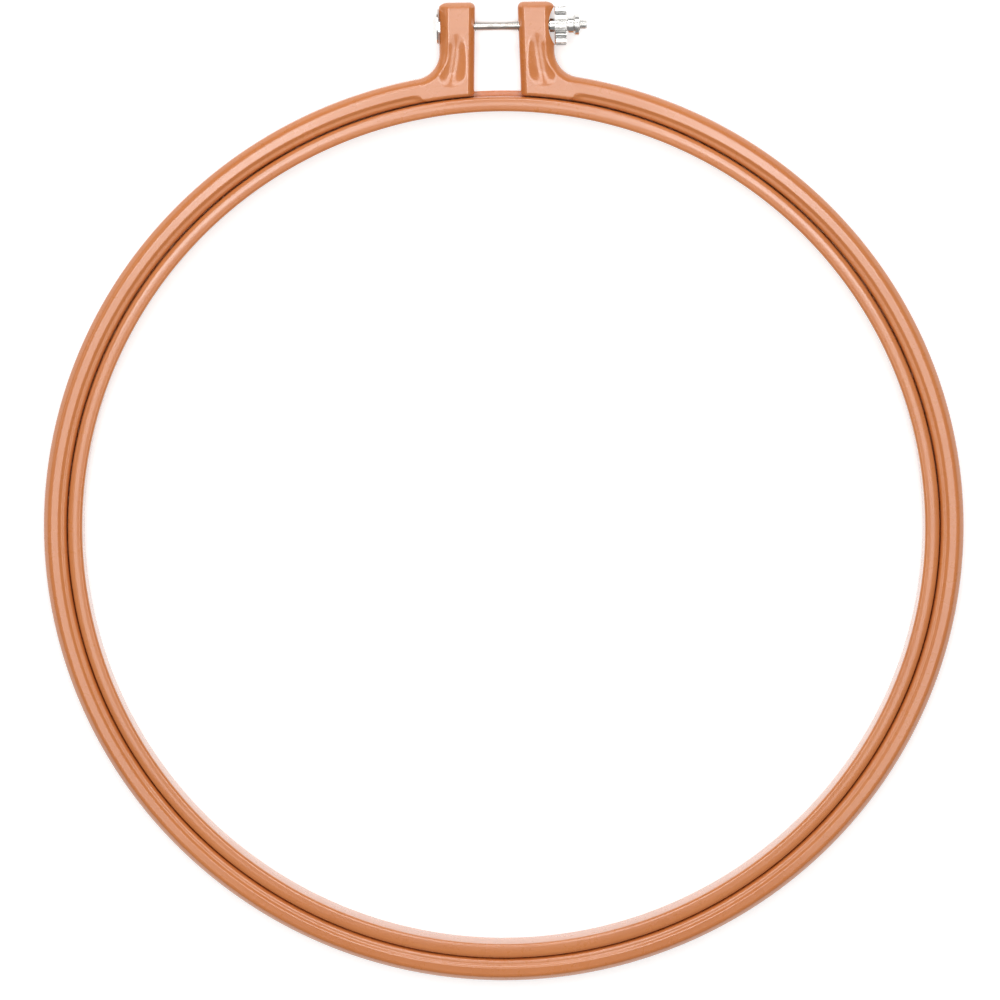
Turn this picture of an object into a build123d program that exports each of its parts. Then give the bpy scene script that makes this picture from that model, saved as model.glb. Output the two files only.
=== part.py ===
from build123d import *
from math import asin, atan2, cos, degrees, pi, radians, sin, sqrt, tan
import os

os.makedirs("parts", exist_ok=True)

# The hoop lies flat: +Z is up, out of its front, the origin is the rings' centre on the back face,
# and the two clamp lugs stand out along +Y. Left and right are as seen from the front.

# Driving dimensions: the rings, in millimetres
opening_diameter = 254.0
inner_ring_width = 4.4
fabric_gap = 0.4
outer_ring_width = 7.0
inner_bore_round = 0.9
inner_shoulder_round = 1.2
inner_crown = 0.12
lip_reach = 1.4
lip_thickness = 1.4
lip_edge_round = 0.35
lip_root_round = 0.25
lip_clearance = 0.1
back_round = 0.7
mouth_round = 0.9

# Driving dimensions: the band along the front of the outer ring
bevel_width = 1.9
bevel_depth = 2.3
bevel_round = 0.6
cove_width = 2.0
cove_depth = 0.3
cove_ridge = 0.45
cove_end_share = 0.19

# Driving dimensions: the clamp lugs
foot_gap = 13.9
lug_width = 10.15
lug_lean_degrees = 1.4
lug_corner_margin = 0.4
lug_top_margin = 1.5
lug_web = 1.4
flare_radius = 8.0
dish_width = 5.4
dish_depth = 0.4
bowl_width = 7.4
bowl_depth = 0.5
bowl_foot_margin = 3.6
seat_depth = 1.7
seat_margin = 0.3

# Driving dimensions: the clamp screw and its fits
screw_diameter = 3.0
thread_pitch = 0.5
thread_depth = 0.26
thread_crest_share = 0.12
screw_end_chamfer = 0.35
screw_end_reach = 2.2
head_diameter = 10.6
head_rim = 0.5
dome_height = 1.5
neck_length = 3.6
neck_clearance = 0.3
head_seat_gap = 0.15
spread_clearance = 0.45

# Driving dimensions: the thumb nut
nut_land = 0.4
nut_flange = 0.35
nut_disc_length = 3.6
nut_hub_diameter = 4.2
nut_hub_gap = 0.15
nut_neck_diameter = 5.3
nut_neck_length = 2.5
nut_neck_round = 0.5
nut_collar_diameter = 6.6
nut_collar_length = 1.4
nut_edge_chamfer = 0.3
nut_seat_gap = 0.1
nut_running_clearance = 0.05
nut_floor_clearance = 0.05
nut_flare_clearance = 1.6
knurl_teeth = 40
knurl_depth = 0.3
knurl_flat_share = 0.3
knurl_root_share = 0.2
slot_width = 0.9
slot_depth = 1.0
slot_turn_degrees = 20

# One overrun serves every through cut
overrun = 1.0

# Radii of the four ring walls, from the opening outwards
opening_radius = opening_diameter / 2
inner_outside_radius = opening_radius + inner_ring_width
lip_radius = inner_outside_radius + lip_reach
outer_inside_radius = inner_outside_radius + fabric_gap
outer_outside_radius = outer_inside_radius + outer_ring_width

# The head sets the seat, the seat sets the nut, and the nut and the screw set the hoop's height
screw_radius = screw_diameter / 2
bore_radius = screw_radius + spread_clearance
head_radius = head_diameter / 2
seat_half_chord = head_radius + seat_margin
seat_radius = (seat_half_chord**2 + seat_depth**2) / (2 * seat_depth)
nut_radius = seat_half_chord + nut_land
screw_z = nut_radius + nut_floor_clearance
hoop_height = screw_z + bore_radius + lug_web
outer_back = lip_thickness + lip_clearance

# The lug stands beside the gap, and a flare joins its outer side to the ring
lug_side = foot_gap / 2 + lug_width
flare_x = lug_side + flare_radius
flare_y = sqrt((outer_outside_radius + flare_radius) ** 2 - flare_x**2)
screw_y = flare_y + nut_flare_clearance + nut_radius
lug_top = screw_y + seat_half_chord + lug_top_margin
foot_y = sqrt(outer_inside_radius**2 - (foot_gap / 2) ** 2)
gap_half_at_top = foot_gap / 2 - (lug_top - foot_y) * tan(radians(lug_lean_degrees))

# Places along the screw, from the middle of the gap
head_underside = lug_side + head_seat_gap
nut_start = lug_side + nut_seat_gap
nut_end = nut_start + nut_disc_length + nut_neck_length + nut_collar_length
screw_end = nut_end + screw_end_reach
neck_end = head_underside - neck_length

screw_axis = Axis((0, screw_y, screw_z), (1, 0, 0))
along_screw = Plane(origin=(0, screw_y, screw_z), x_dir=(1, 0, 0), z_dir=(0, -1, 0))


def across_screw(x):
    """The plane square to the screw at x, with its own x along +Y and its normal along +X."""
    return Plane(origin=(x, screw_y, screw_z), x_dir=(0, 1, 0), z_dir=(1, 0, 0))


def on_circle(radius, angle_degrees):
    """The point of a circle about the rings' axis at an angle from +X."""
    return (radius * cos(radians(angle_degrees)), radius * sin(radians(angle_degrees)))


def is_lip_corner(vertex):
    """True for a corner of the inner hoop's section at the front of its lip."""
    return abs(vertex.Y - lip_thickness) < lip_thickness / 1e5


def is_mouth_edge(edge):
    """True for an edge that runs round the outer hoop's inside wall."""
    slack = outer_inside_radius / 1e5
    return edge.geom_type == GeomType.CIRCLE and abs(edge.radius - outer_inside_radius) < slack


def is_outline_edge(edge):
    """True for an edge of the half hoop's outline that is neither its mouth nor its seam."""
    at_seam = abs(edge.center().X) < outer_outside_radius / 1e6
    return not at_seam and not is_mouth_edge(edge)


# Inner hoop: one closed ring with a faintly crowned front, and a lip at the back that the outer hoop sits on
with BuildPart() as inner_hoop:
    with BuildSketch(Plane.XZ) as section:
        with BuildLine():
            Polyline(
                (opening_radius, 0),
                (lip_radius, 0),
                (lip_radius, lip_thickness),
                (inner_outside_radius, lip_thickness),
                (inner_outside_radius, hoop_height - inner_crown),
            )
            ThreePointArc(
                (inner_outside_radius, hoop_height - inner_crown),
                ((opening_radius + inner_outside_radius) / 2, hoop_height),
                (opening_radius, hoop_height - inner_crown),
            )
            Line((opening_radius, hoop_height - inner_crown), (opening_radius, 0))
        make_face()
        fillet(section.vertices().group_by(Axis.Y)[0], radius=back_round)
        front_corners = section.vertices().group_by(Axis.Y)[-1].sort_by(Axis.X)
        fillet(front_corners[0], radius=inner_bore_round)
        front_corners = section.vertices().group_by(Axis.Y)[-1].sort_by(Axis.X)
        fillet(front_corners[-1], radius=inner_shoulder_round)
        lip_corners = section.vertices().filter_by(is_lip_corner).sort_by(Axis.X)
        fillet(lip_corners[0], radius=lip_root_round)
        lip_corners = section.vertices().filter_by(is_lip_corner).sort_by(Axis.X)
        fillet(lip_corners[-1], radius=lip_edge_round)
    revolve(axis=Axis.Z)
inner_hoop.part.label = "inner_hoop"
export_step(inner_hoop.part, "parts/inner_hoop.step")

# Outline points of the right half of the outer hoop
flare_centre = Vector(flare_x, flare_y)
flare_foot = flare_centre * (outer_outside_radius / (outer_outside_radius + flare_radius))
towards_ring = (flare_centre * -1).normalized()
towards_lug = Vector(-1, 0)
flare_middle = flare_centre + (towards_ring + towards_lug).normalized() * flare_radius
flare_foot_degrees = degrees(atan2(flare_foot.Y, flare_foot.X))
foot_degrees = degrees(atan2(foot_y, foot_gap / 2))
bottom_degrees = -90
cove_end_degrees = flare_foot_degrees - cove_end_share * degrees(flare_radius / outer_outside_radius)

# The shallow cove runs round the front between the mouth and the crest
cove_middle_radius = outer_inside_radius + mouth_round + cove_ridge + cove_width / 2
cove_cut_radius = ((cove_width / 2) ** 2 + cove_depth**2) / (2 * cove_depth)
cove_cut_height = hoop_height - cove_depth + cove_cut_radius
cove_end_x, cove_end_y = on_circle(cove_middle_radius, cove_end_degrees)

# The dish in each lug's front is a long hollow between the bevels
dish_radius = ((dish_width / 2) ** 2 + dish_depth**2) / (2 * dish_depth)
dish_x = lug_side - lug_width / 2
dish_end = screw_y
dish_height = hoop_height - dish_depth + dish_radius

# At the foot the dish widens into a round bowl that keeps to the bevel along the gap
bowl_radius = ((bowl_width / 2) ** 2 + bowl_depth**2) / (2 * bowl_depth)
bowl_x = dish_x - dish_width / 2 + bowl_width / 2
bowl_y = foot_y + bowl_foot_margin + bowl_width / 2
bowl_height = hoop_height - bowl_depth + bowl_radius

# Half of the outer hoop: half the ring with one lug, all one moulding
with BuildPart() as half_hoop:
    with BuildSketch(Plane.XY.offset(outer_back)) as outline:
        with BuildLine():
            ThreePointArc(
                (0, -outer_outside_radius),
                on_circle(outer_outside_radius, (bottom_degrees + flare_foot_degrees) / 2),
                (flare_foot.X, flare_foot.Y),
            )
            ThreePointArc(
                (flare_foot.X, flare_foot.Y),
                (flare_middle.X, flare_middle.Y),
                (lug_side, flare_y),
            )
            Line((lug_side, flare_y), (lug_side, lug_top))
            Line((lug_side, lug_top), (gap_half_at_top, lug_top))
            Line((gap_half_at_top, lug_top), (foot_gap / 2, foot_y))
            ThreePointArc(
                (foot_gap / 2, foot_y),
                on_circle(outer_inside_radius, (bottom_degrees + foot_degrees) / 2),
                (0, -outer_inside_radius),
            )
            Line((0, -outer_inside_radius), (0, -outer_outside_radius))
        make_face()
        fillet(outline.vertices().group_by(Axis.Y)[-1], radius=bevel_width + lug_corner_margin)
    extrude(amount=hoop_height - outer_back)
    front = half_hoop.faces().sort_by(Axis.Z)[-1]
    chamfer(front.edges().filter_by(is_outline_edge), length=bevel_width, length2=bevel_depth, reference=front)
    back = half_hoop.faces().sort_by(Axis.Z)[0]
    fillet(back.edges().filter_by(is_outline_edge), radius=back_round)
    front = half_hoop.faces().sort_by(Axis.Z)[-1]
    fillet(front.edges().filter_by(is_outline_edge), radius=bevel_round)
    front = half_hoop.faces().sort_by(Axis.Z)[-1]
    fillet(front.edges().filter_by(is_mouth_edge), radius=mouth_round)
    back = half_hoop.faces().sort_by(Axis.Z)[0]
    fillet(back.edges().filter_by(is_mouth_edge), radius=back_round)
    # The cove, with a rounded run-out beside the lug
    with BuildSketch(Plane(origin=(0, 0, 0), x_dir=(0, -1, 0), z_dir=(-1, 0, 0))):
        with Locations((cove_middle_radius, cove_cut_height)):
            Circle(cove_cut_radius)
    revolve(axis=Axis.Z, revolution_arc=cove_end_degrees - bottom_degrees, mode=Mode.SUBTRACT)
    with Locations((cove_end_x, cove_end_y, cove_cut_height)):
        Sphere(cove_cut_radius, mode=Mode.SUBTRACT)
    # The dish in the lug's front, rounded at its top and running into the bowl at its foot
    with Locations((dish_x, (bowl_y + dish_end) / 2, dish_height)):
        Cylinder(dish_radius, dish_end - bowl_y, rotation=(90, 0, 0), mode=Mode.SUBTRACT)
    with Locations((dish_x, dish_end, dish_height)):
        Sphere(dish_radius, mode=Mode.SUBTRACT)
    with Locations((bowl_x, bowl_y, bowl_height)):
        Sphere(bowl_radius, mode=Mode.SUBTRACT)
    # The bore through the lug
    with BuildSketch(across_screw(0)):
        Circle(bore_radius)
    extrude(amount=lug_side + overrun, mode=Mode.SUBTRACT)

# Right half of the outer hoop, whose lug is scooped out for the nut and fingers
with BuildPart() as outer_hoop_right:
    add(half_hoop.part)
    with BuildSketch(Plane.XY.offset(-overrun)):
        with Locations((lug_side - seat_depth + seat_radius, screw_y)):
            Circle(seat_radius)
    extrude(amount=hoop_height + 2 * overrun, mode=Mode.SUBTRACT)
outer_hoop_right.part.label = "outer_hoop_right"
export_step(outer_hoop_right.part, "parts/outer_hoop_right.step")

# Left half of the outer hoop, whose lug has a flat side for the head and a square pocket for its neck
with BuildPart() as outer_hoop_left:
    add(half_hoop.part.mirror(Plane.YZ))
    with BuildSketch(across_screw(-lug_side - overrun)):
        Rectangle(2 * bore_radius, 2 * bore_radius)
    extrude(amount=lug_side + overrun - neck_end + neck_clearance, mode=Mode.SUBTRACT)
outer_hoop_left.part.label = "outer_hoop_left"
export_step(outer_hoop_left.part, "parts/outer_hoop_left.step")

# Clamp screw: domed head, square neck and a threaded shank
dome_radius = (head_radius**2 + dome_height**2) / (2 * dome_height)
dome_half_angle = asin(head_radius / dome_radius) / 2
dome_top = head_underside + head_rim + dome_height
dome_centre = dome_top - dome_radius
with BuildPart() as clamp_screw:
    with BuildSketch(along_screw):
        with BuildLine():
            Polyline(
                (-dome_top, 0),
                (screw_end, 0),
                (screw_end, screw_radius - screw_end_chamfer),
                (screw_end - screw_end_chamfer, screw_radius),
                (-head_underside, screw_radius),
                (-head_underside, head_radius),
                (-head_underside - head_rim, head_radius),
            )
            ThreePointArc(
                (-head_underside - head_rim, head_radius),
                (
                    -dome_centre - dome_radius * cos(dome_half_angle),
                    dome_radius * sin(dome_half_angle),
                ),
                (-dome_top, 0),
            )
        make_face()
    revolve(axis=screw_axis)
    with BuildSketch(across_screw(-neck_end)):
        Rectangle(screw_diameter, screw_diameter)
    extrude(amount=-neck_length)
    # The thread is one helical groove from the neck to past the end
    thread_start = thread_pitch - neck_end
    with BuildLine(across_screw(thread_start)) as groove_line:
        Helix(pitch=thread_pitch, height=screw_end - thread_start + thread_pitch, radius=screw_radius)
    groove_path = groove_line.line
    with BuildSketch(Plane(origin=groove_path @ 0, z_dir=groove_path % 0, x_dir=(0, 1, 0))):
        with BuildLine():
            Polyline(
                (thread_depth / 4, -thread_pitch * (1 - thread_crest_share) / 2),
                (thread_depth / 4, thread_pitch * (1 - thread_crest_share) / 2),
                (-thread_depth, thread_pitch * thread_crest_share / 2),
                (-thread_depth, -thread_pitch * thread_crest_share / 2),
                close=True,
            )
        make_face()
    sweep(path=groove_path, is_frenet=True, mode=Mode.SUBTRACT)
clamp_screw.part.label = "clamp_screw"
export_step(clamp_screw.part, "parts/clamp_screw.step")

# Thumb nut: hub in the seat, plain flange, knurled disc, neck, and a collar with a slot across its end
knurl_points = []
knurl_step = 2 * pi / knurl_teeth
for tooth in range(knurl_teeth):
    middle = tooth * knurl_step
    flat_half = knurl_flat_share * knurl_step / 2
    root_half = knurl_root_share * knurl_step / 2
    for radius, angle in (
        (nut_radius, middle - flat_half),
        (nut_radius, middle + flat_half),
        (nut_radius - knurl_depth, middle + knurl_step / 2 - root_half),
        (nut_radius - knurl_depth, middle + knurl_step / 2 + root_half),
    ):
        knurl_points.append((radius * cos(angle), radius * sin(angle)))
nut_neck_start = nut_start + nut_disc_length
nut_collar_start = nut_neck_start + nut_neck_length
neck_radius = nut_neck_diameter / 2
collar_radius = nut_collar_diameter / 2
hub_radius = nut_hub_diameter / 2
seat_at_hub = seat_depth - seat_radius + sqrt(seat_radius**2 - hub_radius**2)
hub_start = lug_side - seat_at_hub + nut_hub_gap
with BuildPart() as thumb_nut:
    with BuildSketch(across_screw(nut_start)):
        with BuildLine():
            Polyline(*knurl_points, close=True)
        make_face()
    extrude(amount=nut_disc_length)
    with BuildSketch(across_screw(nut_start)):
        Circle(nut_radius)
    extrude(amount=nut_flange)
    # The disc's two rims are chamfered together
    with BuildSketch(along_screw):
        with BuildLine():
            Polyline(
                (nut_start, 0),
                (nut_neck_start, 0),
                (nut_neck_start, nut_radius - knurl_depth),
                (nut_neck_start - nut_edge_chamfer, nut_radius),
                (nut_start + nut_edge_chamfer / 2, nut_radius),
                (nut_start, nut_radius - nut_edge_chamfer / 2),
                close=True,
            )
        make_face()
    revolve(axis=screw_axis, mode=Mode.INTERSECT)
    with BuildSketch(along_screw) as tail:
        with BuildLine():
            Polyline(
                (nut_neck_start - overrun, 0),
                (nut_end, 0),
                (nut_end, collar_radius - nut_edge_chamfer),
                (nut_end - nut_edge_chamfer, collar_radius),
                (nut_collar_start, collar_radius),
                (nut_collar_start - nut_neck_round, neck_radius),
                (nut_neck_start + nut_neck_round, neck_radius),
                (nut_neck_start, neck_radius + nut_neck_round),
                (nut_neck_start - overrun, neck_radius + nut_neck_round),
                close=True,
            )
        make_face()
    revolve(axis=screw_axis)
    with BuildSketch(across_screw(hub_start)):
        Circle(hub_radius)
    extrude(amount=nut_start - hub_start + nut_flange)
    with BuildSketch(across_screw(hub_start - overrun)):
        Circle(screw_radius + nut_running_clearance)
    extrude(amount=nut_end - hub_start + 2 * overrun, mode=Mode.SUBTRACT)
    with BuildSketch(across_screw(nut_end - slot_depth)):
        Rectangle(slot_width, nut_collar_diameter + 2 * overrun, rotation=slot_turn_degrees)
    extrude(amount=slot_depth + overrun, mode=Mode.SUBTRACT)
thumb_nut.part.label = "thumb_nut"
export_step(thumb_nut.part, "parts/thumb_nut.step")

# The nut backs off along the thread, and the lugs spread by as much about the seam's outer edge
print(f"screw axis: y {screw_y:.3f}, z {screw_z:.3f}; nut seat x {lug_side:.3f}")
print(f"lever from the seam's outer edge to the screw: {screw_y + outer_outside_radius:.3f}")
print(f"hoop height {hoop_height:.3f}; lug top {lug_top:.3f}; half gap at the top {gap_half_at_top:.3f}")
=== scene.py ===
import bpy
import math
from mathutils import Matrix, Vector


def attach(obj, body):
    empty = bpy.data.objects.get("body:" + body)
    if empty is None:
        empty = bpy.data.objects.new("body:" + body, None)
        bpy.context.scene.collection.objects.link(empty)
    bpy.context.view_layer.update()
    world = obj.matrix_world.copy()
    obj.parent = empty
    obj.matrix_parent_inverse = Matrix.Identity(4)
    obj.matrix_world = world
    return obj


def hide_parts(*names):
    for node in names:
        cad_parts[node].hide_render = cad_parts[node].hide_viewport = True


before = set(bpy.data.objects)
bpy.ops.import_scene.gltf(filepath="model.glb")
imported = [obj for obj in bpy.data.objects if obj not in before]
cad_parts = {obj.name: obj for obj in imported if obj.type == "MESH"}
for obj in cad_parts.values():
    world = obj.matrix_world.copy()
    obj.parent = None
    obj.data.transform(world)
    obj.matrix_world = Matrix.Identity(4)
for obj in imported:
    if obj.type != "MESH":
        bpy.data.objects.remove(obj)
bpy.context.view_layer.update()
scene = bpy.context.scene

# Sizes of the CAD part in millimetres, in which every mesh is worked out before it is scaled to metres
MM = 0.001
HOOP_HEIGHT = 9.4
OPENING_RADIUS = 127.0
INNER_OUTSIDE_RADIUS = 131.4
LIP_RADIUS = 132.8
LIP_THICKNESS = 1.4
MOUTH_RADIUS = 131.8
OUTSIDE_RADIUS = 138.8
OUTER_BACK = 1.5
BACK_ROUND = 0.7
FOOT_GAP = 13.9
LUG_WIDTH = 10.15
LUG_LEAN = math.radians(1.4)
FLARE_RADIUS = 8.0
SCREW_Z = 6.05
NUT_RADIUS = 6.0
NUT_FLARE_CLEARANCE = 1.6
SEAT_HALF_CHORD = 5.6
SEAT_DEPTH = 1.7
LUG_TOP_MARGIN = 1.5
BORE_RADIUS = 1.95
POCKET_END = 13.35
POCKET_HALF_HEIGHT = 1.6
HEAD_RADIUS = 5.3
HEAD_RIM = 0.5
HEAD_GAP = 0.15
DOME_HEIGHT = 1.5
NECK_LENGTH = 3.6
SCREW_RADIUS = 1.5
SCREW_END = 26.9
THREAD_PITCH = 0.5
THREAD_DEPTH = 0.26

# Places that follow from those sizes
LUG_SIDE = FOOT_GAP / 2 + LUG_WIDTH
FLARE_X = LUG_SIDE + FLARE_RADIUS
FLARE_Y = math.sqrt((OUTSIDE_RADIUS + FLARE_RADIUS) ** 2 - FLARE_X**2)
FLARE_ANGLE = math.atan2(FLARE_Y, FLARE_X)
SCREW_Y = FLARE_Y + NUT_FLARE_CLEARANCE + NUT_RADIUS
LUG_TOP = SCREW_Y + SEAT_HALF_CHORD + LUG_TOP_MARGIN
FOOT_Y = math.sqrt(MOUTH_RADIUS**2 - (FOOT_GAP / 2) ** 2)
SEAT_RADIUS = (SEAT_HALF_CHORD**2 + SEAT_DEPTH**2) / (2 * SEAT_DEPTH)

# The moulded forms of the front, softer than the solids' own
BEVEL_DEPTH = 1.95
BEVEL_SOFTNESS = 0.28
BEVEL_EDGE_SHARE = 0.78
BEVEL_EDGE_DROP = 0.35
RING_BEVEL = 2.1
LUG_BEVEL = 2.8
GAP_BEVEL = 1.85
TOP_BEVEL = 1.7
MOUTH_ROUND = 0.95
MOUTH_STEEPNESS = 1.5
FOOT_ROUND = 0.9
STEP_RADIUS = 134.5
STEP_WIDTH = 1.15
STEP_DEPTH = 0.42
STEP_SLOPE = 0.06
STEP_END = math.radians(80.0)
STEP_FADE = math.radians(0.45)
STEP_SLANT = math.radians(0.75)
DISH_TOP = SCREW_Y - 1.2
DISH_BOTTOM = FOOT_Y + 2.6
DISH_X = LUG_SIDE - LUG_WIDTH * 0.52
DISH_SHIFT = 2.4
DISH_BEND = 1.6
DISH_TOP_DEPTH = 0.2
DISH_BOTTOM_DEPTH = 0.95
DISH_TOP_HALF = 1.9
DISH_BOTTOM_HALF = 5.2
DISH_WIDENING = 0.9
DISH_RIM_SOFTNESS = 1.6
DISH_TOP_FADE = 0.3
DISH_BOTTOM_FADE = 0.26

# How finely the half hoops are divided, round the hoop and across it
RING_STATIONS = 360
FLARE_STATIONS = 64
FOOT_STATIONS = 10
WALL_STATIONS = 96
CORNER_STATIONS = 16
NEAR_INNER_EDGE = (0.0, 0.015, 0.05, 0.11, 0.19, 0.3, 0.44, 0.6, 0.8, 1.02, 1.28, 1.6)
OUTER_EDGE_STRETCH = 1.6
MIDDLE_ROWS = 28

# The inner hoop's section and the screw's
INNER_CROWN = 0.14
INNER_CROWN_ROUND = 12.0
INNER_BORE_ROUND = 0.9
INNER_SHOULDER_ROUND = 1.25
LIP_CORNER_ROUND = 0.25
LIP_EDGE_ROUND = 0.35
INNER_STEPS = 720
HEAD_ROWS = 12
HEAD_POLE = 0.05
HEAD_CHAMFER = 0.15
NECK_OVERLAP = 0.05
THREAD_STEPS = 24
THREAD_COLUMNS = 8
THREAD_FLANK = 2.3
END_CHAMFER = 0.35


# Curves and distances in the plan of the half hoop
def smooth(value, low, high):
    """0 below low and 1 above high, with an eased passage between."""
    share = min(max((value - low) / (high - low), 0.0), 1.0)
    return share * share * (3 - 2 * share)


def rounding(distance, radius):
    """How far a surface has dropped at a distance from an edge that a quarter circle rounds."""
    reach = radius - min(max(distance, 0.0), radius)
    return radius - math.sqrt(radius**2 - reach**2)


def gap_wall(y):
    """The x of the lug's wall along the gap."""
    return FOOT_GAP / 2 - (y - FOOT_Y) * math.tan(LUG_LEAN)


def edge_distances(x, y):
    """Distances from the mouth, the gap's wall, the outer edge and the lug's top."""
    radius = math.hypot(x, y)
    if y > FLARE_Y:
        outer = LUG_SIDE - x
    elif math.atan2(y, x) > FLARE_ANGLE:
        outer = math.hypot(x - FLARE_X, y - FLARE_Y) - FLARE_RADIUS
    else:
        outer = OUTSIDE_RADIUS - radius
    if y > 0:
        return radius - MOUTH_RADIUS, (x - gap_wall(y)) * math.cos(LUG_LEAN), outer, LUG_TOP - y
    return radius - MOUTH_RADIUS, LUG_TOP, outer, LUG_TOP


def bevel_drop(gap, outer, top, y):
    """Drop of the soft bevel along the outer edge, the lug's top and the gap."""
    outer_width = RING_BEVEL + (LUG_BEVEL - RING_BEVEL) * smooth(y, OUTSIDE_RADIUS - 2, FLARE_Y)
    pairs = ((gap, GAP_BEVEL), (outer, outer_width), (top, TOP_BEVEL))
    share = min(math.hypot(*(max(1 - distance / width, 0.0) for distance, width in pairs)), 1.0)
    slope = math.sqrt(share**2 + BEVEL_SOFTNESS**2) - BEVEL_SOFTNESS
    drop = BEVEL_DEPTH * slope / (math.sqrt(1 + BEVEL_SOFTNESS**2) - BEVEL_SOFTNESS)
    edge = max(share - BEVEL_EDGE_SHARE, 0.0) / (1 - BEVEL_EDGE_SHARE)
    return drop + BEVEL_EDGE_DROP * (1 - math.sqrt(1 - edge**2))


def step_drop(x, y):
    """Drop of the sunken band between the crest and the mouth, which ends aslant beside the lug."""
    inwards = STEP_RADIUS - math.hypot(x, y)
    if inwards <= 0:
        return 0.0
    end = STEP_END + STEP_SLANT * (inwards / STEP_WIDTH - 1)
    fade = 1 - smooth(math.atan2(y, x), end - STEP_FADE, end)
    return (STEP_DEPTH * smooth(inwards, 0, STEP_WIDTH) + STEP_SLOPE * inwards) * fade


def dish_drop(x, y):
    """Depth of the leaf-shaped dish in the lug's front, which widens and deepens towards the foot."""
    along = (DISH_TOP - y) / (DISH_TOP - DISH_BOTTOM)
    if not 0 < along < 1:
        return 0.0
    half = DISH_TOP_HALF + (DISH_BOTTOM_HALF - DISH_TOP_HALF) * along**DISH_WIDENING
    half *= math.sqrt(1 - max(2 * (1 - along) ** 4 - 1, 0)) * math.sqrt(max(1 - along**7, 0.0))
    off = (x - DISH_X - DISH_SHIFT * along**DISH_BEND) / max(half, 0.01)
    if abs(off) >= 1:
        return 0.0
    depth = DISH_TOP_DEPTH + (DISH_BOTTOM_DEPTH - DISH_TOP_DEPTH) * along
    ends = smooth(along, 0.0, DISH_TOP_FADE) * smooth(1 - along, 0.0, DISH_BOTTOM_FADE)
    return depth * (1 - off**2) ** DISH_RIM_SOFTNESS * ends


def front_height(x, y):
    """Height of the outer hoop's front."""
    mouth, gap, outer, top = edge_distances(x, y)
    drop = bevel_drop(gap, outer, top, y) + MOUTH_STEEPNESS * rounding(mouth, MOUTH_ROUND)
    return HOOP_HEIGHT - drop - step_drop(x, y) - dish_drop(x, y)


def back_height(x, y):
    """Height of the outer hoop's back, with its edges rounded."""
    return OUTER_BACK + rounding(min(edge_distances(x, y)), BACK_ROUND)


# Stations across the half hoop: each is a line from its inner edge to its outer edge
def arc(centre, radii, start, end, count):
    """Points along an arc of a circle or ellipse, without its first one."""
    points = []
    for step in range(1, count + 1):
        angle = start + (end - start) * step / count
        points.append((centre[0] + radii[0] * math.cos(angle), centre[1] + radii[1] * math.sin(angle)))
    return points


def line(start, end, count):
    """Evenly spaced points along a line, without its first one."""
    points = []
    for step in range(1, count + 1):
        points.append(tuple(a + (b - a) * step / count for a, b in zip(start, end)))
    return points


def stations():
    """Pairs of inner and outer edge points, from the seam round to the lug's top."""
    seam = -math.pi / 2
    origin = (0.0, 0.0)
    foot_x = FOOT_GAP / 2 + FOOT_ROUND
    for _ in range(4):
        foot_y = math.sqrt((MOUTH_RADIUS + FOOT_ROUND) ** 2 - foot_x**2)
        foot_x = gap_wall(foot_y) + FOOT_ROUND / math.cos(LUG_LEAN)
    foot_angle = math.atan2(foot_y, foot_x)
    corner_y = LUG_TOP - TOP_BEVEL
    inner_corner = (gap_wall(corner_y) + GAP_BEVEL, corner_y)
    outer_corner = (LUG_SIDE - LUG_BEVEL, corner_y)
    mouth = (MOUTH_RADIUS, MOUTH_RADIUS)
    inner = [(0.0, -MOUTH_RADIUS)]
    inner += arc(origin, mouth, seam, FLARE_ANGLE, RING_STATIONS)
    inner += arc(origin, mouth, FLARE_ANGLE, foot_angle, FLARE_STATIONS)
    foot_start = math.pi + foot_angle
    foot_end = math.pi + LUG_LEAN
    inner += arc((foot_x, foot_y), (FOOT_ROUND, FOOT_ROUND), foot_start, foot_end, FOOT_STATIONS)
    inner += line(inner[-1], (gap_wall(corner_y), corner_y), WALL_STATIONS)
    inner += arc(inner_corner, (GAP_BEVEL, TOP_BEVEL), math.pi, math.pi / 2, CORNER_STATIONS)
    outer = [(0.0, -OUTSIDE_RADIUS)]
    outer += arc(origin, (OUTSIDE_RADIUS, OUTSIDE_RADIUS), seam, FLARE_ANGLE, RING_STATIONS)
    flare = (FLARE_RADIUS, FLARE_RADIUS)
    outer += arc((FLARE_X, FLARE_Y), flare, math.pi + FLARE_ANGLE, math.pi, FLARE_STATIONS)
    outer += line(outer[-1], (LUG_SIDE, corner_y), FOOT_STATIONS + WALL_STATIONS)
    outer += arc(outer_corner, (LUG_BEVEL, TOP_BEVEL), 0.0, math.pi / 2, CORNER_STATIONS)
    return list(zip(inner, outer))


def across(inner, outer):
    """Points from the inner to the outer edge, close together near both."""
    length = math.dist(inner, outer)
    places = list(NEAR_INNER_EDGE)
    wide = [OUTER_EDGE_STRETCH * place for place in NEAR_INNER_EDGE]
    start, end = places[-1], length - wide[-1]
    places += [start + (end - start) * row / MIDDLE_ROWS for row in range(1, MIDDLE_ROWS)]
    places += [length - place for place in reversed(wide)]
    return [tuple(a + (b - a) * place / length for a, b in zip(inner, outer)) for place in places]


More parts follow.
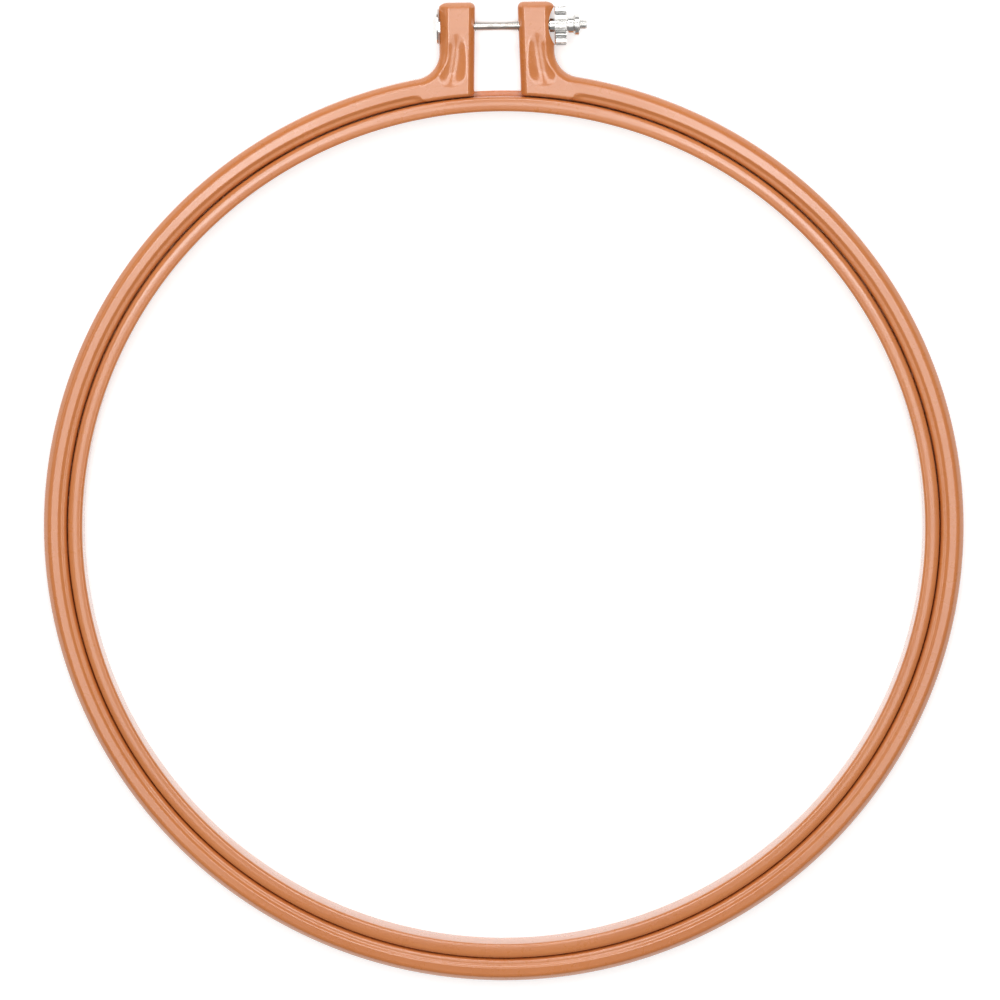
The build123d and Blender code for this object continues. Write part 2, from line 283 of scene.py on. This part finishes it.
def half_hoop(name, side):
    """One half of the outer hoop, to the right for side 1 and to the left for side -1."""
    points, faces = [], []
    lines = [across(inner, outer) for inner, outer in stations()]
    rows = len(lines[0])
    for height in (front_height, back_height):
        for row in lines:
            points += [(side * x, y, height(x, y)) for x, y in row]
    count = len(lines)
    back = count * rows

    def quad(a, b, c, d):
        faces.append((a, b, c, d) if side > 0 else (d, c, b, a))

    for station in range(count - 1):
        for row in range(rows - 1):
            a = station * rows + row
            b = a + 1
            c = b + rows
            d = a + rows
            quad(a, b, c, d)
            quad(back + d, back + c, back + b, back + a)
        inner = station * rows
        outer = inner + rows - 1
        quad(inner, inner + rows, back + inner + rows, back + inner)
        quad(back + outer, back + outer + rows, outer + rows, outer)
    for first, turned in ((0, False), ((count - 1) * rows, True)):
        for row in range(first, first + rows - 1):
            corners = (row, back + row, back + row + 1, row + 1)
            quad(*(reversed(corners) if turned else corners))
    return mesh_object(name, points, faces)


# Meshes
def mesh_object(name, points, faces):
    mesh = bpy.data.meshes.new(name)
    mesh.from_pydata([(x * MM, y * MM, z * MM) for x, y, z in points], [], faces)
    mesh.update()
    piece = bpy.data.objects.new(name, mesh)
    scene.collection.objects.link(piece)
    return piece


def add_shell(points, faces, more_points, more_faces):
    """Joins another closed shell to a mesh's points and faces."""
    start = len(points)
    points += more_points
    faces += [tuple(start + corner for corner in face) for face in more_faces]


def shell(section, place, steps, closed=False):
    """Points and faces of a solid of revolution, where place turns (radius, angle, height) to a point."""
    points, faces = [], []
    for step in range(steps):
        angle = 2 * math.pi * step / steps
        points += [place(radius, angle, height) for radius, height in section]
    rows = len(section)
    for step in range(steps):
        here, there = step * rows, (step + 1) % steps * rows
        for row in range(rows if closed else rows - 1):
            after = (row + 1) % rows
            faces.append((here + row, there + row, there + after, here + after))
    if not closed:
        faces.append(tuple(step * rows for step in reversed(range(steps))))
        faces.append(tuple(step * rows + rows - 1 for step in range(steps)))
    return points, faces


def revolved(name, section, place, steps=96, closed=False):
    return mesh_object(name, *shell(section, place, steps, closed))


def about_z(radius, angle, height):
    return radius * math.cos(angle), radius * math.sin(angle), height


def about_screw(radius, angle, x):
    return x, SCREW_Y + radius * math.cos(angle), SCREW_Z + radius * math.sin(angle)


def square_bar(low, high, half_y, half_z):
    """Points and faces of a straight bar about the screw's axis, from one x to another."""
    points = []
    for x in (low, high):
        for side_y, side_z in ((-1, -1), (1, -1), (1, 1), (-1, 1)):
            points.append((x, SCREW_Y + side_y * half_y, SCREW_Z + side_z * half_z))
    sides = [((a + 1) % 4, (a + 1) % 4 + 4, a + 4, a) for a in range(4)]
    return points, sides + [(3, 2, 1, 0), (4, 5, 6, 7)]


def cut(piece, *cutters):
    """Takes the cutters out of the piece and throws them away."""
    for cutter in cutters:
        tool = piece.modifiers.new("cut", "BOOLEAN")
        tool.operation = "DIFFERENCE"
        tool.solver = "EXACT"
        tool.object = cutter
        graph = bpy.context.evaluated_depsgraph_get()
        mesh = bpy.data.meshes.new_from_object(piece.evaluated_get(graph))
        piece.modifiers.clear()
        old, piece.data = piece.data, mesh
        bpy.data.meshes.remove(old)
        bpy.data.objects.remove(cutter)


def finish_piece(piece, sharp_degrees, material, body, node):
    """Smooths and paints a piece that replaces a CAD node and rides its body."""
    piece.data.shade_smooth()
    piece.data.set_sharp_from_angle(angle=math.radians(sharp_degrees))
    paint(piece, material)
    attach(piece, body)
    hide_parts(node)


def rounded_section(corners, steps=8):
    """A closed section from (radius, height, rounding) corners, each rounded by its own radius."""
    section = []
    count = len(corners)
    for index, (r, z, size) in enumerate(corners):
        here = Vector((r, z))
        before = (Vector(corners[index - 1][:2]) - here).normalized()
        after = (Vector(corners[(index + 1) % count][:2]) - here).normalized()
        if not size:
            section.append((r, z))
            continue
        half = before.angle(after) / 2
        centre = here + (before + after).normalized() * size / math.sin(half)
        start = here + before * size / math.tan(half) - centre
        end = here + after * size / math.tan(half) - centre
        sweep = math.pi - 2 * half
        for step in range(steps + 1):
            share = step / steps
            blend = start * math.sin((1 - share) * sweep) + end * math.sin(share * sweep)
            section.append(tuple(centre + blend / math.sin(sweep)))
    return section


def inner_ring(name):
    """The inner hoop: crowned front, rounded bore and shoulder, and the lip at its back."""
    edge = HOOP_HEIGHT - INNER_CROWN
    middle = (OPENING_RADIUS + INNER_OUTSIDE_RADIUS) / 2
    corners = [
        (OPENING_RADIUS, 0.0, BACK_ROUND),
        (OPENING_RADIUS, edge, INNER_BORE_ROUND),
        (middle, HOOP_HEIGHT, INNER_CROWN_ROUND),
        (INNER_OUTSIDE_RADIUS, edge, INNER_SHOULDER_ROUND),
        (INNER_OUTSIDE_RADIUS, LIP_THICKNESS, LIP_CORNER_ROUND),
        (LIP_RADIUS, LIP_THICKNESS, LIP_EDGE_ROUND),
        (LIP_RADIUS, 0.0, BACK_ROUND),
    ]
    section = list(reversed(rounded_section(corners)))
    return revolved(name, section, about_z, steps=INNER_STEPS, closed=True)


def screw_body(name):
    """The clamp screw: domed head with a thin rim, square neck, and a shank with a helical thread."""
    underside = -LUG_SIDE - HEAD_GAP
    dome_radius = (HEAD_RADIUS**2 + DOME_HEIGHT**2) / (2 * DOME_HEIGHT)
    dome_centre = underside - HEAD_RIM - DOME_HEIGHT + dome_radius
    reach = math.asin(HEAD_RADIUS / dome_radius)
    head = [(HEAD_POLE, underside)]
    head.append((HEAD_RADIUS - HEAD_CHAMFER, underside))
    head.append((HEAD_RADIUS, underside - HEAD_CHAMFER))
    for step in range(HEAD_ROWS):
        angle = reach * (HEAD_ROWS - step) / (HEAD_ROWS + 0.05)
        head.append((dome_radius * math.sin(angle), dome_centre - dome_radius * math.cos(angle)))
    head.append((HEAD_POLE, dome_centre - dome_radius))
    points, faces = shell(list(reversed(head)), about_screw, 96)
    neck_start = underside - NECK_OVERLAP
    neck_end = underside + NECK_LENGTH
    neck, neck_sides = square_bar(neck_start, neck_end, SCREW_RADIUS, SCREW_RADIUS)
    add_shell(points, faces, neck, neck_sides)
    shank, sides = threaded_shank(neck_end - THREAD_PITCH, SCREW_END)
    add_shell(points, faces, shank, sides)
    return mesh_object(name, points, faces)


def threaded_shank(start, end):
    """A rod about the screw's axis with a V thread cut round it; its radius dips with a helix's phase."""
    columns = int((end - start) / THREAD_PITCH * THREAD_COLUMNS)
    points, faces = [], []
    for column in range(columns + 1):
        x = start + (end - start) * column / columns
        chamfer = max(END_CHAMFER - (end - x), 0.0)
        for step in range(THREAD_STEPS):
            angle = 2 * math.pi * step / THREAD_STEPS
            phase = ((x - start) / THREAD_PITCH - step / THREAD_STEPS) % 1.0
            groove = min(1.0, THREAD_FLANK * (0.5 - abs(phase - 0.5)))
            radius = min(SCREW_RADIUS - THREAD_DEPTH * (1 - groove), SCREW_RADIUS - chamfer)
            points.append(about_screw(radius, angle, x))
    for column in range(columns):
        for step in range(THREAD_STEPS):
            here = column * THREAD_STEPS + step
            after = column * THREAD_STEPS + (step + 1) % THREAD_STEPS
            faces.append((here, after, after + THREAD_STEPS, here + THREAD_STEPS))
    faces.append(tuple(reversed(range(THREAD_STEPS))))
    faces.append(tuple(columns * THREAD_STEPS + step for step in range(THREAD_STEPS)))
    return points, faces


# Node helpers
class Nodes:
    """A material's node tree, with short calls for the nodes used here."""

    def __init__(self, name):
        self.material = bpy.data.materials.new(name)
        self.material.use_nodes = True
        self.tree = self.material.node_tree
        self.shader = self.tree.nodes["Principled BSDF"]

    def add(self, kind, **values):
        node = self.tree.nodes.new(kind)
        for key, value in values.items():
            setattr(node, key, value)
        return node

    def link(self, source, target):
        self.tree.links.new(source, target)

    def value(self, source, target):
        if hasattr(source, "links"):
            self.link(source, target)
        else:
            target.default_value = source

    def math(self, operation, a, b=0.0):
        node = self.add("ShaderNodeMath", operation=operation)
        self.value(a, node.inputs[0])
        self.value(b, node.inputs[1])
        return node.outputs[0]

    def noise(self, vector, scale, detail=2.0, rough=0.5):
        node = self.add("ShaderNodeTexNoise")
        self.link(vector, node.inputs["Vector"])
        node.inputs["Scale"].default_value = scale
        node.inputs["Detail"].default_value = detail
        node.inputs["Roughness"].default_value = rough
        return node.outputs["Fac"]

    def ramp(self, factor, stops):
        node = self.add("ShaderNodeValToRGB")
        self.link(factor, node.inputs["Fac"])
        ramp = node.color_ramp
        ramp.elements[0].position, ramp.elements[0].color = stops[0]
        ramp.elements[1].position, ramp.elements[1].color = stops[-1]
        for position, colour in stops[1:-1]:
            ramp.elements.new(position).color = colour
        return node.outputs["Color"]

    def mix(self, factor, a, b):
        node = self.add("ShaderNodeMix", data_type="RGBA", blend_type="MIX")
        self.value(factor, node.inputs[0])
        self.value(a, node.inputs[6])
        self.value(b, node.inputs[7])
        return node.outputs[2]

    def span(self, value, low, high, to_low, to_high):
        node = self.add("ShaderNodeMapRange")
        self.link(value, node.inputs["Value"])
        node.inputs["From Min"].default_value = low
        node.inputs["From Max"].default_value = high
        node.inputs["To Min"].default_value = to_low
        node.inputs["To Max"].default_value = to_high
        return node.outputs["Result"]

    def bump(self, height, strength, distance, normal=None):
        node = self.add("ShaderNodeBump")
        self.link(height, node.inputs["Height"])
        node.inputs["Strength"].default_value = strength
        node.inputs["Distance"].default_value = distance
        if normal is not None:
            self.link(normal, node.inputs["Normal"])
        return node.outputs["Normal"]

    def place(self):
        return self.add("ShaderNodeTexCoord").outputs["Object"]

    def scaled(self, vector, scale):
        node = self.add("ShaderNodeMapping")
        self.link(vector, node.inputs["Vector"])
        node.inputs["Scale"].default_value = scale
        return node.outputs["Vector"]


TAN_DEEP = (0.66, 0.205, 0.052, 1)
TAN_LIGHT = (0.72, 0.235, 0.062, 1)
STREAK_TAN = (0.78, 0.29, 0.09, 1)
MOTTLE_BROWN = (0.55, 0.15, 0.03, 1)
SCREW_NICKEL = (0.78, 0.77, 0.75, 1)
NUT_NICKEL = (0.80, 0.79, 0.77, 1)
TARNISH = (0.60, 0.57, 0.52, 1)
PAPER_GREY = (0.80, 0.80, 0.80, 1)
PAPER_WHITE = (0.83, 0.83, 0.83, 1)
WHITE = (1, 1, 1, 1)


def hoop_plastic(name):
    """Tan moulded plastic, polished, with faint flow streaks round the ring and fine handling marks."""
    m = Nodes(name)
    place = m.place()
    split = m.add("ShaderNodeSeparateXYZ")
    m.link(place, split.inputs[0])
    x, y, z = split.outputs
    radius = m.math("SQRT", m.math("ADD", m.math("MULTIPLY", x, x), m.math("MULTIPLY", y, y)))
    angle = m.math("ARCTAN2", y, x)
    polar = m.add("ShaderNodeCombineXYZ")
    m.link(m.math("MULTIPLY", radius, 900.0), polar.inputs[0])
    m.link(m.math("MULTIPLY", angle, 5.0), polar.inputs[1])
    m.link(m.math("MULTIPLY", z, 900.0), polar.inputs[2])
    streaks = m.noise(polar.outputs[0], 1.0, 3.0, 0.55)
    cloud = m.noise(place, 28.0, 3.0, 0.5)
    mottle = m.noise(place, 420.0, 2.0, 0.6)
    colour = m.ramp(cloud, [(0.25, TAN_DEEP), (0.75, TAN_LIGHT)])
    colour = m.mix(m.span(streaks, 0.35, 0.65, 0.0, 0.22), colour, STREAK_TAN)
    colour = m.mix(m.span(mottle, 0.45, 0.8, 0.0, 0.10), colour, MOTTLE_BROWN)
    m.link(colour, m.shader.inputs["Base Color"])
    handling = m.noise(place, 160.0, 4.0, 0.6)
    m.link(m.span(handling, 0.3, 0.7, 0.24, 0.34), m.shader.inputs["Roughness"])
    m.shader.inputs["Coat Weight"].default_value = 1.0
    m.shader.inputs["Coat Roughness"].default_value = 0.10
    waves = m.bump(m.noise(place, 60.0, 1.0, 0.4), 0.25, 0.0004)
    lines = m.bump(streaks, 0.16, 0.00006, waves)
    grain = m.bump(m.noise(place, 2600.0, 2.0, 0.5), 0.10, 0.00002, lines)
    m.link(grain, m.shader.inputs["Normal"])
    m.shader.inputs["IOR"].default_value = 1.5
    return m.material


def plated(name, tone):
    """Bright nickel plate with fine turning lines about the screw's axis and a little tarnish."""
    m = Nodes(name)
    place = m.place()
    tarnish = m.span(m.noise(place, 300.0, 3.0, 0.6), 0.4, 0.75, 0.0, 0.35)
    m.link(m.mix(tarnish, tone, TARNISH), m.shader.inputs["Base Color"])
    m.shader.inputs["Metallic"].default_value = 1.0
    rubbing = m.noise(place, 900.0, 3.0, 0.6)
    m.link(m.span(rubbing, 0.3, 0.7, 0.14, 0.26), m.shader.inputs["Roughness"])
    turning = m.noise(m.scaled(place, (1.0, 0.05, 0.05)), 9000.0, 2.0, 0.5)
    m.link(m.bump(turning, 0.08, 0.00002), m.shader.inputs["Normal"])
    return m.material


def paint(obj, material):
    obj.data.materials.clear()
    obj.data.materials.append(material)


tan = hoop_plastic("hoop_plastic")
screw_plate = plated("plated_screw", SCREW_NICKEL)
nut_plate = plated("plated_nut", NUT_NICKEL)
paint(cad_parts["thumb_nut"], nut_plate)


# The plastic pieces, with the lugs' bores, the right one's seat and the left one's pocket cut out
CUT_MARGIN = 1


def disc_section(radius, start, end):
    return [(radius, start), (radius, end)]


def bore_cutter(start, end):
    return revolved("bore", disc_section(BORE_RADIUS, start, end), about_screw)


def right_seat(radius, angle, height):
    """Turns about the upright axis of the round hollow in the right lug's side."""
    centre_x = LUG_SIDE - SEAT_DEPTH + SEAT_RADIUS
    return centre_x + radius * math.cos(angle), SCREW_Y + radius * math.sin(angle), height


def pocket_cutter():
    bar = square_bar(-LUG_SIDE - CUT_MARGIN, -POCKET_END, BORE_RADIUS, POCKET_HALF_HEIGHT)
    return mesh_object("pocket", *bar)


ring = inner_ring("inner_hoop_body")
finish_piece(ring, 50, tan, "inner_ring", "inner_hoop")

right_half = half_hoop("outer_hoop_right_body", 1)
seat_section = disc_section(SEAT_RADIUS, -CUT_MARGIN, HOOP_HEIGHT + CUT_MARGIN)
seat = revolved("seat", seat_section, right_seat, steps=256)
cut(right_half, seat, bore_cutter(-CUT_MARGIN, LUG_SIDE + CUT_MARGIN))
finish_piece(right_half, 40, tan, "outer_right", "outer_hoop_right")

left_half = half_hoop("outer_hoop_left_body", -1)
cut(left_half, bore_cutter(-POCKET_END - CUT_MARGIN / 2, CUT_MARGIN), pocket_cutter())
finish_piece(left_half, 40, tan, "outer_left", "outer_hoop_left")

screw = screw_body("clamp_screw_body")
finish_piece(screw, 30, screw_plate, "screw", "clamp_screw")


# Floor, plain and pale; seen directly or in a reflection it is white, with the hoop's shadow on it
FLOOR_GLOW = 0.50
FLOOR_HALF = 4
FLOOR_DROP = 0.00005


def pale_floor():
    m = Nodes("floor_paper")
    path = m.add("ShaderNodeLightPath")
    seen = m.math("MAXIMUM", path.outputs["Is Camera Ray"], path.outputs["Is Glossy Ray"])
    seen = m.math("MAXIMUM", seen, path.outputs["Is Transmission Ray"])
    grain = m.noise(m.place(), 220.0, 3.0, 0.6)
    m.link(m.ramp(grain, [(0.3, PAPER_GREY), (0.7, PAPER_WHITE)]), m.shader.inputs["Base Color"])
    m.shader.inputs["Roughness"].default_value = 0.9
    m.shader.inputs["Specular IOR Level"].default_value = 0.1
    m.shader.inputs["Emission Color"].default_value = WHITE
    m.link(m.math("MULTIPLY", seen, FLOOR_GLOW), m.shader.inputs["Emission Strength"])
    return m.material


floor_corners = [(FLOOR_HALF * x, FLOOR_HALF * y, 0) for x, y in ((-1, -1), (1, -1), (1, 1), (-1, 1))]
floor_mesh = bpy.data.meshes.new("floor")
floor_mesh.from_pydata(floor_corners, [], [(0, 1, 2, 3)])
floor = bpy.data.objects.new("floor", floor_mesh)
scene.collection.objects.link(floor)
floor.location.z = -FLOOR_DROP
paint(floor, pale_floor())

# World: dim for the light that it gives, white where it is seen
WORLD_LIGHT = 0.27
WORLD_SEEN = 1.0
world = bpy.data.worlds.new("studio")
scene.world = world
world.use_nodes = True
tree = world.node_tree
background = tree.nodes["Background"]
rays = tree.nodes.new("ShaderNodeLightPath")
either = tree.nodes.new("ShaderNodeMath")
either.operation = "MAXIMUM"
tree.links.new(rays.outputs["Is Camera Ray"], either.inputs[0])
tree.links.new(rays.outputs["Is Transmission Ray"], either.inputs[1])
level = tree.nodes.new("ShaderNodeMapRange")
tree.links.new(either.outputs[0], level.inputs["Value"])
level.inputs["To Min"].default_value = WORLD_LIGHT
level.inputs["To Max"].default_value = WORLD_SEEN
tree.links.new(level.outputs["Result"], background.inputs["Strength"])
background.inputs["Color"].default_value = WHITE


# Lamps, all soft and white; those overhead look straight down
def softbox(name, location, target, size, power):
    data = bpy.data.lights.new(name, "AREA")
    data.shape = "RECTANGLE"
    data.size, data.size_y = size
    data.energy = power
    lamp = bpy.data.objects.new(name, data)
    scene.collection.objects.link(lamp)
    lamp.location = location
    lamp.rotation_euler = (Vector(target) - Vector(location)).to_track_quat("-Z", "Y").to_euler()


def overhead(name, x, y, height, size, power):
    softbox(name, (x, y, height), (x, y, 0), size, power)


for hand, x_sign in (("left", -1), ("right", 1)):
    overhead("overhead_" + hand, x_sign * 0.32, 0.5, 1.75, (0.4, 1.1), 6.2)
    overhead("front_" + hand, x_sign * 0.3, -0.2, 1.76, (0.34, 0.6), 1.7)
overhead("overhead_middle", 0.0, 0.06, 1.75, (0.30, 0.26), 0.68)
softbox("back_light", (0.0, 1.7, 1.3), (0, 0, 0), (1.2, 0.7), 12.5)
softbox("left_fill", (-1.5, 0.4, 0.9), (0, 0, 0), (0.8, 0.8), 1.5)

# Camera, nearly overhead and a little towards the lugs
SENSOR_WIDTH = 36
tilt = math.radians(8.5)
side = math.radians(0.16)
roll = math.radians(0.8)
distance = 1.4
lens_in_sensor_widths = 4.62
aim = Vector((-0.0010, 0.0089, 0))
away = Vector((math.tan(side), math.tan(tilt), 1)).normalized()
up = Vector((math.sin(roll), math.cos(roll), 0))
right = up.cross(away).normalized()
camera_data = bpy.data.cameras.new("camera")
camera = bpy.data.objects.new("camera", camera_data)
scene.collection.objects.link(camera)
camera.matrix_world = Matrix((right, away.cross(right), away)).transposed().to_4x4()
camera.location = aim + away * distance
camera_data.sensor_width = SENSOR_WIDTH
camera_data.lens = SENSOR_WIDTH * lens_in_sensor_widths
camera_data.clip_start = 0.01
scene.camera = camera

scene.view_settings.view_transform = "Standard"
